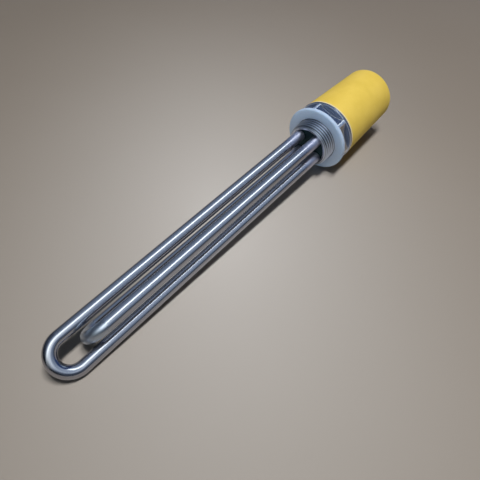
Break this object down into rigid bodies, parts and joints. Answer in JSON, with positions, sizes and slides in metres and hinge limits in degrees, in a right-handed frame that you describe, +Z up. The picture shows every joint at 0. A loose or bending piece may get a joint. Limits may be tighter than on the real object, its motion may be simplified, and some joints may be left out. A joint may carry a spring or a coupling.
{
  "type": "screw plug immersion heater",
  "caption": "Screw plug immersion heater: crossed U-shaped steel tubes through a hexagon plug with a pipe thread and a pale gasket, and a yellow cap over the terminals.",
  "frame": {"origin": "centre of the hexagon's sealing face, where the heater's axis crosses it", "axes": "+X along the heater's axis towards the bends of the elements, -X towards the cap, +Z up as the heater lies on a flat surface"},
  "size_m": [0.3135, 0.0492, 0.0492],
  "materials": {
    "machined_stainless": "turned and milled, satin",
    "bright_stainless_tube": "bright drawn tube",
    "pale_silicone": "smooth, semi-matt",
    "yellow_plastic": "satin moulded",
    "packed_magnesia": "matt, pressed powder",
    "glazed_ceramic": "glazed, opaque",
    "resin_seal": "cast resin",
    "plated_stud": "nickel plated",
    "zinc_plate": "zinc plated",
    "brass_strap": "plain brass"
  },
  "bodies": {
    "heater": {"plug_body": "machined_stainless", "sealing_gasket": "pale_silicone", "long_element_sheath": "bright_stainless_tube", "short_element_sheath": "bright_stainless_tube", "long_element_magnesia": "packed_magnesia", "short_element_magnesia": "packed_magnesia", "terminal_pin_1": "plated_stud", "terminal_pin_2": "plated_stud", "terminal_pin_3": "plated_stud", "terminal_pin_4": "plated_stud", "mouth_seal_1": "resin_seal", "mouth_seal_2": "resin_seal", "mouth_seal_3": "resin_seal", "mouth_seal_4": "resin_seal", "ceramic_bead_1": "glazed_ceramic", "ceramic_bead_2": "glazed_ceramic", "ceramic_bead_3": "glazed_ceramic", "ceramic_bead_4": "glazed_ceramic", "lower_nut_1": "zinc_plate", "lower_nut_2": "zinc_plate", "lower_nut_3": "zinc_plate", "lower_nut_4": "zinc_plate", "link_1": "brass_strap", "link_2": "brass_strap", "flat_washer_1": "zinc_plate", "flat_washer_2": "zinc_plate", "flat_washer_3": "zinc_plate", "flat_washer_4": "zinc_plate", "spring_washer_1": "zinc_plate", "spring_washer_2": "zinc_plate", "spring_washer_3": "zinc_plate", "spring_washer_4": "zinc_plate", "upper_nut_1": "zinc_plate", "upper_nut_2": "zinc_plate", "upper_nut_3": "zinc_plate", "upper_nut_4": "zinc_plate", "earth_screw": "brass_strap", "earth_washer": "brass_strap"},
    "cap": {"terminal_cap": "yellow_plastic"}
  },
  "joints": [
    {"name": "cap_pull", "type": "slide", "parent": "heater", "child": "cap", "axis": [-1, 0, 0], "range_m": [0, 0.045]}
  ]
}
